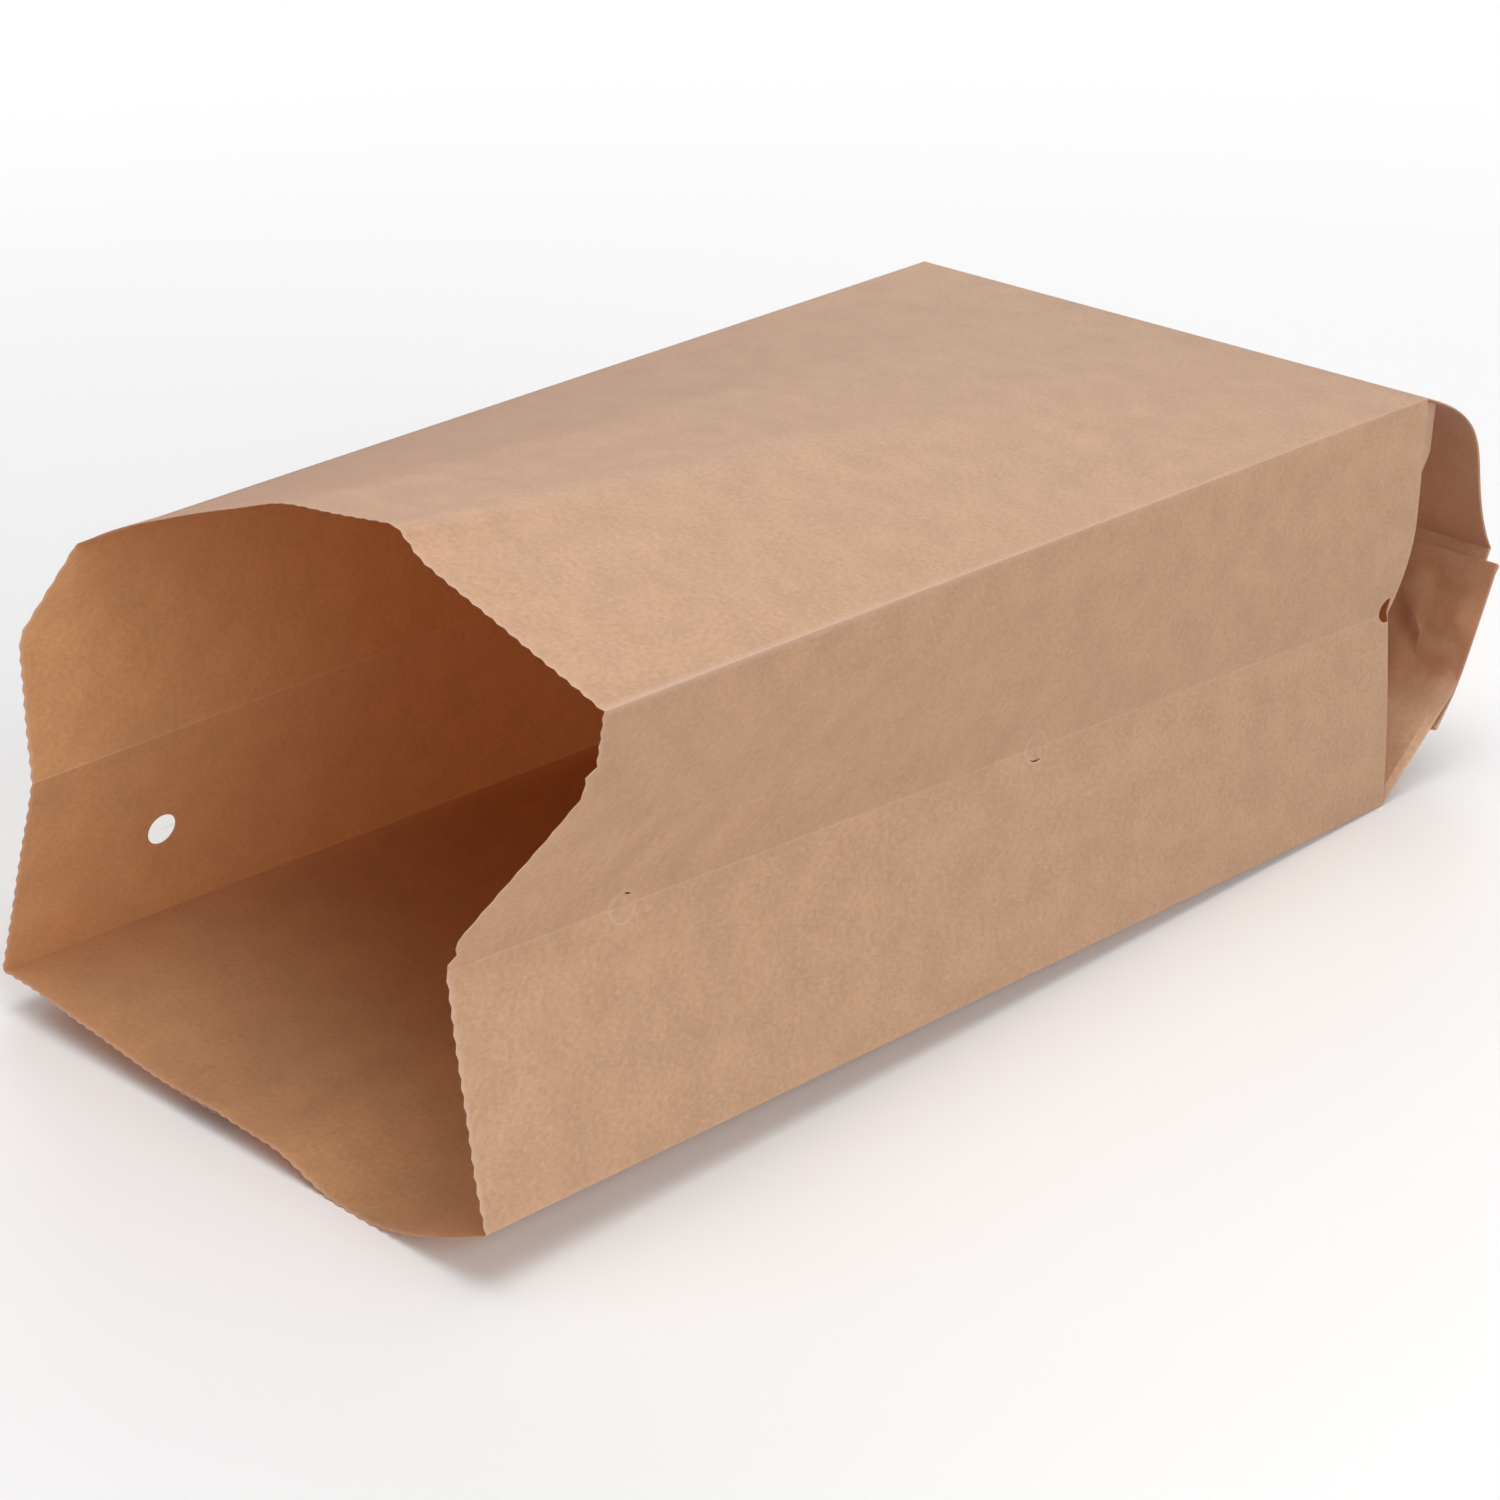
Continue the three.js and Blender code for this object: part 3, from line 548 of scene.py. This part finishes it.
# Grid cells become triangles. Their diagonals follow the crease of each gusset on the end flaps.
index = np.arange(row_count * column_count).reshape(row_count, column_count)
a, b, c, d = index[:-1, :-1], index[:-1, 1:], index[1:, 1:], index[1:, :-1]
column_panel = np.searchsorted(panel_starts, np.arange(column_count), side="right") - 1
leaning = np.isin(column_panel[:-1], [NEAR_UPPER, FAR_LOWER])[None, :, None]
straight_cells = np.stack([a, c, b, a, d, c], axis=-1)
leaning_cells = np.stack([a, d, b, b, d, c], axis=-1)
outer = np.where(leaning, leaning_cells, straight_cells).reshape(-1, 3)
inner = outer[:, ::-1] + index.size
rim = np.concatenate([index[0, :-1], index[:-1, -1], index[-1, :0:-1], index[:0:-1, 0]])
rim_next = np.roll(rim, -1)
inner_rim, inner_next = rim + index.size, rim_next + index.size
rim_cells = np.stack([rim_next, inner_rim, rim, rim_next, inner_next, inner_rim], axis=-1)
triangles = np.concatenate([outer, inner, rim_cells.reshape(-1, 3)])


def new_mesh(name, vertices, faces):
    """Mesh of whole arrays: vertices in metres and triangles or quads of vertex numbers."""
    mesh = bpy.data.meshes.new(name)
    mesh.from_pydata(vertices, [], faces.tolist())
    mesh.validate()
    return mesh


bag_mesh = new_mesh("paper_sheet", skins.reshape(-1, 3) * MM + mouth_place, triangles)

# Marks on the sheet: place on the flat sheet, inside or outside, how worn the paper is by a fold or a cut,
# with a painted highlight on the top and end folds, and how much painted shade darkens the gussets' paper at
# the closed end
FOLD_WEAR = 0.6
# The end fold and the near top fold carry wear and a painted highlight; the band beside the top fold,
# strongest at the mouth, is painted highlight alone
END_FOLD_WEAR_AND_HIGHLIGHT = 0.35
TOP_FOLD_WEAR_AND_HIGHLIGHT = 1.0
TOP_BAND_HIGHLIGHT = 0.9
CUT_WEAR = 1.0
# Painted shade of the closed end: the gussets' paper in the end pockets and the strip, growing down the flaps
END_SHADE_START = 0.3
END_SHADE_FULL = 0.62
UPPER_END_SHADE = 0.55
lower_columns = np.isin(column_panel, [NEAR_LOWER, FAR_LOWER])
upper_columns = np.isin(column_panel, [NEAR_UPPER, FAR_UPPER])
beside_top_fold = panel_starts[FRONT] + np.array([-1, 1])
wear_and_highlight = np.tile(FOLD_WEAR * (fold_distance < FOLD_EDGE / 2), (row_count, 1))
# Painted highlight besides the wear along the end fold and the near top fold, and on the columns beside the
# top fold, fading towards the closed end
wear_and_highlight[BOX_ROWS] = np.maximum(wear_and_highlight[BOX_ROWS], END_FOLD_WEAR_AND_HIGHLIGHT * (lower_columns | upper_columns))
wear_and_highlight[: BOX_ROWS + 1, panel_starts[FRONT]] = TOP_FOLD_WEAR_AND_HIGHLIGHT
wear_and_highlight[: BOX_ROWS + 1, beside_top_fold] = TOP_BAND_HIGHLIGHT * opened
wear_and_highlight[[0, -1]] = CUT_WEAR
# Painted shade: full on the pinch and strip, growing down the flaps, weaker on the upper gussets
paste = np.zeros((row_count, column_count))
paste[BOX_ROWS + 1 :] = 1.0
paste[BOX_ROWS + 1 : BOX_ROWS + 1 + GUSSET_STEPS] = ease(END_SHADE_START, END_SHADE_FULL, flap_rows)
paste = paste * (lower_columns + UPPER_END_SHADE * upper_columns)
flat_place = np.stack(np.broadcast_arrays(paper_across, paper_along[:, None]), axis=-1).reshape(-1, 2) * MM
skin_marks = [np.stack([np.full(index.size, skin), wear_and_highlight.ravel()], axis=-1) for skin in (0.0, 1.0)]
end_shade_marks = np.stack([np.tile(paste.ravel(), 2), np.zeros(2 * index.size)], axis=-1)
sheet_marks = {"flat": np.tile(flat_place, (2, 1)), "marks": np.concatenate(skin_marks), "paste": end_shade_marks}
corner_vertices = np.empty(len(bag_mesh.loops), dtype=np.int32)
bag_mesh.loops.foreach_get("vertex_index", corner_vertices)
for layer_name, values in sheet_marks.items():
    layer = bag_mesh.uv_layers.new(name=layer_name)
    layer.data.foreach_set("uv", values[corner_vertices].astype(np.float32).ravel())

bag = bpy.data.objects.new("kraft_bag", bag_mesh)
bpy.context.scene.collection.objects.link(bag)

# Punched through the sheet: one round hole in the far gusset, and along the near gusset's fold a row of
# vents, each a disc cut most of the way round, the last of them split by the end fold
HOLE_DIAMETER = 6.0
HOLE_PLACE = (-55.0, 32.6, 25.2)
VENT_DIAMETER = 5.0
VENT_SLIT = 0.06
VENT_HINGE = np.radians(100.0)
VENT_PLACES = (38.8, 133.8)
VENT_GAP = 0.32
VENT_GAP_PLACES = np.radians((70.0, 265.0))
VENT_GAP_SPANS = np.radians((13.0, 30.0))
VENT_SPRING = 0.6
HALF_MOON = np.radians((80.0, 280.0))
LAST_VENT_SHIFT = (0.0, -0.4, 0.8)
PUNCH_DEPTH = 7.0
PUNCH_SIDES = 48
PUNCH_CORE = 0.02  # radius left out in the middle of a punch
FULL_TURN = 2 * np.pi - 1e-4  # short of a whole turn, so that a punch doesn't meet itself


def sweep(start, end):
    """Column of angles from a start to an end."""
    return np.linspace(start, end, PUNCH_SIDES + 1)[:, None]


def punch(name, angle, inner_radius, outer_radius, centre):
    """Punch along x: the ring between two radii over a column of angles, carried as a quad of corners."""
    inner_edge, outer_edge = np.broadcast_arrays(inner_radius, outer_radius + 0.0 * angle)
    radius = np.concatenate([outer_edge, outer_edge, inner_edge, inner_edge], axis=1)
    x = centre[0] + PUNCH_DEPTH * np.array([-1.0, 1.0, 1.0, -1.0])
    ring = points(x, centre[1] + radius * np.cos(angle), centre[2] + radius * np.sin(angle))
    number = np.arange(ring[..., 0].size).reshape(ring.shape[:2])
    after = np.roll(number, -1, axis=1)
    sides = np.stack([number[:-1], number[1:], after[1:], after[:-1]], axis=-1).reshape(-1, 4)
    caps = np.stack([number[0], number[-1, ::-1]])
    mesh = new_mesh(name, ring.reshape(-1, 3) * MM + mouth_place, np.concatenate([sides, caps]))
    tool = bpy.data.objects.new(name, mesh)
    bpy.context.scene.collection.objects.link(tool)
    return tool


def on_near_fold(y):
    """Point of the near gusset's centre fold at a distance from the mouth's edge."""
    return np.array([np.interp(y, near_fold[:, 1], values) for values in near_fold.T])


near_fold = sheet[: BOX_ROWS + 1, panel_starts[NEAR_UPPER]]
vent_centres = [on_near_fold(y) for y in VENT_PLACES]
last_vent = near_fold[-1] + LAST_VENT_SHIFT
tools = [punch("hole_punch", sweep(0.0, FULL_TURN), PUNCH_CORE, HOLE_DIAMETER / 2, HOLE_PLACE)]
tools.append(punch("half_moon_punch", sweep(*HALF_MOON), PUNCH_CORE, VENT_DIAMETER / 2, last_vent))
slit_angles = sweep(VENT_HINGE / 2 - np.pi, np.pi - VENT_HINGE / 2)
for centre, gap_place, gap_span in zip(vent_centres, VENT_GAP_PLACES, VENT_GAP_SPANS):
    off_gap = (slit_angles - gap_place + np.pi) % (2 * np.pi) - np.pi
    slit = VENT_SLIT + VENT_GAP * np.exp(-((off_gap / gap_span) ** 2))
    tools.append(punch("vent_punch", slit_angles, VENT_DIAMETER / 2 - slit, VENT_DIAMETER / 2, centre))
for tool in tools:
    cut = bag.modifiers.new(tool.name, "BOOLEAN")
    cut.operation = "DIFFERENCE"
    cut.solver = "MANIFOLD"
    cut.object = tool
graph = bpy.context.evaluated_depsgraph_get()
punched = bpy.data.meshes.new_from_object(bag.evaluated_get(graph))
bag.modifiers.clear()
bag.data = punched
for tool in tools:
    bpy.data.objects.remove(tool)

# The vents' discs spring flat: away from its hinge each one moves out, most of all along the fold
vertices = np.empty(3 * len(punched.vertices), dtype=np.float32)
punched.vertices.foreach_get("co", vertices)
vertices = (vertices.reshape(-1, 3) - mouth_place) / MM
for centre in vent_centres:
    off_x, off_y, off_z = (vertices - centre).T
    in_disc = (np.hypot(off_y, off_z) < (VENT_DIAMETER - VENT_SLIT) / 2) & (np.abs(off_x) < PUNCH_DEPTH)
    from_hinge = ease(-VENT_DIAMETER / 2, 0.0, off_y)
    vertices[:, 0] += VENT_SPRING * in_disc * from_hinge * (1.0 - 2 * np.abs(off_z) / VENT_DIAMETER)
punched.vertices.foreach_set("co", (vertices * MM + mouth_place).astype(np.float32).ravel())

# The kraft paper itself: brown, matt and a little translucent, with cloudy mottling, fine fibres along the
# machine direction and a few dark flecks. Cut edges and folds are lighter, where fibres stand up, and the
# near top fold and the end fold are lighter still by a painted highlight.
# A noise is given by its repeats to the metre and its detail, and a span is where on it a mark grows.
PAPER_LIGHT = (0.77, 0.547, 0.345, 1.0)
PAPER_DARK = (0.595, 0.422, 0.267, 1.0)
# The inside skin is darker and redder than the outside: partly the paper's rougher inner side, partly painted
# shade for the dim inside of the bag
INSIDE_LIGHT = (0.706, 0.445, 0.222, 1.0)
INSIDE_DARK = (0.543, 0.343, 0.17, 1.0)
THROUGH_COLOUR = (1.0, 0.58, 0.32, 1.0)
SHOW_THROUGH = 0.38
PAPER_ROUGHNESS = 0.5
FUZZ = 0.25
GRAIN_STRETCH = (1.0, 0.3, 1.0)
CLOUD_NOISE = (130.0, 3.0)
CLOUD_WEIGHT = 0.28
MOTTLE_NOISE = (1000.0, 2.0)
MOTTLE_WEIGHT = 0.38
FIBRE_NOISE = (2600.0, 2.0)
FIBRE_WEIGHT = 0.34
TONE_SPAN = (0.4, 0.6)
# Colour, noise and span of the painted shade at the closed end: darker and redder where the pockets and strip
# lie in shade
END_SHADE_COLOUR = (0.5, 0.2, 0.09, 1.0)
END_SHADE_NOISE = (170.0, 2.0)
END_SHADE_SPAN = (0.1, 0.6)
END_SHADE_SHARE = 0.65
RUST_COLOUR = (0.62, 0.36, 0.17, 1.0)
RUST_NOISE = (420.0, 3.0)
RUST_SPAN = (0.58, 0.75)
RUST_SHARE = 0.4
FLECK_COLOUR = (0.34, 0.19, 0.10, 1.0)
FLECK_NOISE = (900.0, 1.0)
FLECK_SPAN = (0.75, 0.82)
FLECK_SHARE = 0.25
EDGE_COLOUR = (0.78, 0.62, 0.48, 1.0)
EDGE_SHARE = 0.75
RING_WIDTH = 0.7
RING_SHARE = 0.9
RELIEF_MOTTLE = 0.6
RELIEF_STRENGTH = 0.25
RELIEF_HEIGHT = 0.1
FOLD_ANGLE = math.radians(18.0)

kraft = bpy.data.materials.new("kraft_paper")
kraft.use_nodes = True
nodes = kraft.node_tree.nodes
links = kraft.node_tree.links


def feed(socket, value):
    """Sets an input socket to a value, or links it to an output."""
    if isinstance(value, bpy.types.NodeSocket):
        links.new(value, socket)
    else:
        socket.default_value = value


def node(kind, **sockets):
    """New node in the present tree, with its input sockets set to values or linked to outputs."""
    made = nodes.new(kind)
    for name, value in sockets.items():
        feed(made.inputs[name.replace("_", " ")], value)
    return made


def noise(place, scale, detail):
    """Noise from 0 to 1 at a place, with a scale in repeats to the metre."""
    return node("ShaderNodeTexNoise", Vector=place, Scale=scale, Detail=detail).outputs["Fac"]


def span(value, low, high, low_out, high_out):
    """Value mapped from one span onto another and clamped there."""
    limits = {"From_Min": low, "From_Max": high, "To_Min": low_out, "To_Max": high_out}
    return node("ShaderNodeMapRange", Value=value, **limits).outputs["Result"]


def blend(part, colour_a, colour_b):
    """Mix of two colours by a part from 0 to 1."""
    made = nodes.new("ShaderNodeMix")
    made.data_type = "RGBA"
    for number, value in ((0, part), (6, colour_a), (7, colour_b)):
        feed(made.inputs[number], value)
    return made.outputs[2]


def blend_shaders(part, shader_a, shader_b):
    """Mix of two shaders by a part from 0 to 1."""
    made = nodes.new("ShaderNodeMixShader")
    for number, value in enumerate((part, shader_a, shader_b)):
        feed(made.inputs[number], value)
    return made.outputs["Shader"]


def arithmetic(operation, a, b):
    """Arithmetic on two values."""
    made = nodes.new("ShaderNodeMath")
    made.operation = operation
    feed(made.inputs[0], a)
    feed(made.inputs[1], b)
    return made.outputs[0]


def length_of(vector):
    """Length of a vector."""
    made = nodes.new("ShaderNodeVectorMath")
    made.operation = "LENGTH"
    feed(made.inputs[0], vector)
    return made.outputs["Value"]


def uv_map(name):
    """Coordinates of one of the sheet's UV maps."""
    made = nodes.new("ShaderNodeUVMap")
    made.uv_map = name
    return made.outputs["UV"]


flat = uv_map("flat")
mark = node("ShaderNodeSeparateXYZ", Vector=uv_map("marks"))
inside_mark, wear_and_highlight_mark = mark.outputs["X"], mark.outputs["Y"]
end_shade_mark = node("ShaderNodeSeparateXYZ", Vector=uv_map("paste")).outputs["X"]
grain = node("ShaderNodeMapping", Vector=flat, Scale=GRAIN_STRETCH).outputs["Vector"]
clouds = noise(flat, *CLOUD_NOISE)
mottle = noise(flat, *MOTTLE_NOISE)
fibres = noise(grain, *FIBRE_NOISE)
cloud_tone = arithmetic("MULTIPLY", clouds, CLOUD_WEIGHT)
mottle_tone = arithmetic("MULTIPLY", mottle, MOTTLE_WEIGHT)
fibre_tone = arithmetic("MULTIPLY", fibres, FIBRE_WEIGHT)
tone = arithmetic("ADD", arithmetic("ADD", cloud_tone, mottle_tone), fibre_tone)
tone = span(tone, *TONE_SPAN, 0.0, 1.0)
outside_colour = blend(tone, PAPER_DARK, PAPER_LIGHT)
inside_colour = blend(tone, INSIDE_DARK, INSIDE_LIGHT)
# Inside skin: partly its own colour, partly painted shade
paper_colour = blend(inside_mark, outside_colour, inside_colour)
# Painted shade in the end pockets and strip, mottled by a noise
end_shaded = arithmetic("MULTIPLY", end_shade_mark, noise(flat, *END_SHADE_NOISE))
end_shaded = arithmetic("MULTIPLY", span(end_shaded, *END_SHADE_SPAN, 0.0, 1.0), END_SHADE_SHARE)
paper_colour = blend(end_shaded, paper_colour, END_SHADE_COLOUR)
rust = span(noise(flat, *RUST_NOISE), *RUST_SPAN, 0.0, RUST_SHARE)
paper_colour = blend(rust, paper_colour, RUST_COLOUR)
flecks = span(noise(grain, *FLECK_NOISE), *FLECK_SPAN, 0.0, FLECK_SHARE)
paper_colour = blend(flecks, paper_colour, FLECK_COLOUR)
# Cut edges and folds lighter from wear, and the top and end folds lighter still by a painted highlight
paper_colour = blend(span(wear_and_highlight_mark, 0.0, 1.0, 0.0, EDGE_SHARE), paper_colour, EDGE_COLOUR)

# Round each vent the cut has roughed up a lighter ring, on the near side of the bag only
object_place = nodes.new("ShaderNodeTexCoord").outputs["Object"]
object_x = node("ShaderNodeSeparateXYZ", Vector=object_place).outputs["X"]
near_side = span(object_x, 0.0, MM, 0.0, RING_SHARE)
ring_radius = VENT_DIAMETER / 2 * MM
side_view = np.array([0.0, 1.0, 1.0])
for centre in vent_centres:
    vent_place = -(centre * MM + mouth_place) * side_view
    from_vent = node("ShaderNodeMapping", Vector=object_place, Location=vent_place, Scale=side_view)
    reach = length_of(from_vent.outputs["Vector"])
    ring_in = span(reach, ring_radius - RING_WIDTH * MM / 2, ring_radius, 0.0, 1.0)
    ring_out = span(reach, ring_radius, ring_radius + RING_WIDTH * MM, 1.0, 0.0)
    ring = arithmetic("MULTIPLY", arithmetic("MULTIPLY", ring_in, ring_out), near_side)
    paper_colour = blend(ring, paper_colour, EDGE_COLOUR)

relief = arithmetic("ADD", arithmetic("MULTIPLY", mottle, RELIEF_MOTTLE), fibres)
bump = node("ShaderNodeBump", Height=relief, Strength=RELIEF_STRENGTH, Distance=RELIEF_HEIGHT * MM)
fibre_face = nodes["Principled BSDF"]
fibre_face.inputs["Roughness"].default_value = PAPER_ROUGHNESS
fibre_face.inputs["Sheen Weight"].default_value = FUZZ
feed(fibre_face.inputs["Base Color"], paper_colour)
feed(fibre_face.inputs["Normal"], bump.outputs["Normal"])
through = node("ShaderNodeBsdfTranslucent", Color=THROUGH_COLOUR, Normal=bump.outputs["Normal"])
paper_shader = blend_shaders(SHOW_THROUGH, fibre_face.outputs["BSDF"], through.outputs["BSDF"])
feed(nodes["Material Output"].inputs["Surface"], paper_shader)

bag.data.materials.clear()
bag.data.materials.append(kraft)
bag.data.polygons.foreach_set("use_smooth", np.ones(len(bag.data.polygons), dtype=bool))
bag.data.set_sharp_from_angle(angle=FOLD_ANGLE)
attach(bag, "root")
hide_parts("paper_bag")

# The studio: a seamless pale table top in a dim white room, under three soft boxes: above, near side and
# back. It only carries the bag's shadow and the light, and is no part of the bag. To the camera alone, floor
# and room are white: the bag has no metal or glass to mirror them, and its light stays at a plain level.
FLOOR_SIZE = 6.0
FLOOR_COLOUR = (0.96, 0.96, 0.96, 1.0)
FLOOR_BOUNCE = (0.62, 0.62, 0.62, 1.0)
FLOOR_ROUGHNESS = 0.8
WHITE_FROM = 0.2
WHITE_FULL = 0.7
WHITE = (1.0, 1.0, 1.0, 1.0)
ROOM_LIGHT = 0.19
LAMP_SIZE = 1.2
# Place of each lamp and how brightly it lights a level surface at the bag
LAMPS = {
    "top_lamp": (Vector((0.15, -0.1, 1.5)), 0.59),
    "near_lamp": (Vector((1.5, -0.4, 0.7)), 0.58),
    "back_lamp": (Vector((-1.0, 1.0, 1.0)), 0.29),
}

bpy.ops.mesh.primitive_plane_add(size=FLOOR_SIZE)
floor = bpy.context.object
floor.name = "floor"
floor_material = bpy.data.materials.new("pale_floor")
floor_material.use_nodes = True
# From here the node helpers fill the floor's tree
nodes = floor_material.node_tree.nodes
links = floor_material.node_tree.links
seen = nodes.new("ShaderNodeLightPath").outputs["Is Camera Ray"]
table_top = nodes["Principled BSDF"]
table_top.inputs["Roughness"].default_value = FLOOR_ROUGHNESS
feed(table_top.inputs["Base Color"], blend(seen, FLOOR_BOUNCE, FLOOR_COLOUR))
from_bag = length_of(nodes.new("ShaderNodeTexCoord").outputs["Object"])
far_away = node("ShaderNodeMapRange", Value=from_bag, From_Min=WHITE_FROM, From_Max=WHITE_FULL)
far_away.interpolation_type = "SMOOTHSTEP"
white_part = arithmetic("MULTIPLY", seen, far_away.outputs["Result"])
white = node("ShaderNodeEmission", Color=WHITE).outputs["Emission"]
feed(nodes["Material Output"].inputs["Surface"], blend_shaders(white_part, table_top.outputs["BSDF"], white))
floor.data.materials.append(floor_material)

scene = bpy.context.scene
scene.view_settings.view_transform = "Standard"
room = bpy.data.worlds.new("white_room")
scene.world = room
room.use_nodes = True
# And from here the room's
nodes = room.node_tree.nodes
links = room.node_tree.links
seen = nodes.new("ShaderNodeLightPath").outputs["Is Camera Ray"]
nodes["Background"].inputs["Color"].default_value = WHITE
feed(nodes["Background"].inputs["Strength"], span(seen, 0.0, 1.0, ROOM_LIGHT, 1.0))

for name, (place, brightness) in LAMPS.items():
    lamp_data = bpy.data.lights.new(name, "AREA")
    lamp_data.size = LAMP_SIZE
    lamp_data.energy = brightness * math.pi**2 * place.length_squared
    lamp = bpy.data.objects.new(name, lamp_data)
    scene.collection.objects.link(lamp)
    lamp.location = place
    lamp.rotation_euler = (-place).to_track_quat("-Z", "Y").to_euler()

# The camera stands where the photograph was taken: in front of the mouth, to the near side and above
CAMERA_FROM_MOUTH = Vector((389.89, -268.85, 281.91)) * MM
CAMERA_AZIMUTH = math.radians(44.67)
CAMERA_ELEVATION = math.radians(24.38)
CAMERA_ROLL = math.radians(-0.2)
TABLE_TILT = math.radians(-0.3156)
FOCAL_PIXELS = 3297.32
PICTURE_PIXELS = 1500
SENSOR_WIDTH = 36.0

camera_data = bpy.data.cameras.new("camera")
camera_data.sensor_width = SENSOR_WIDTH
camera_data.lens = FOCAL_PIXELS / PICTURE_PIXELS * SENSOR_WIDTH
camera = bpy.data.objects.new("camera", camera_data)
scene.collection.objects.link(camera)
level = Matrix.Rotation(TABLE_TILT, 3, "X")
turn = Matrix.Rotation(CAMERA_AZIMUTH, 3, "Z")
tilt = Matrix.Rotation(math.pi / 2 - CAMERA_ELEVATION, 3, "X")
roll = Matrix.Rotation(CAMERA_ROLL, 3, "Z")
look = level @ turn @ tilt @ roll
camera.matrix_world = Matrix.Translation(Vector(mouth_place) + CAMERA_FROM_MOUTH) @ look.to_4x4()
scene.camera = camera
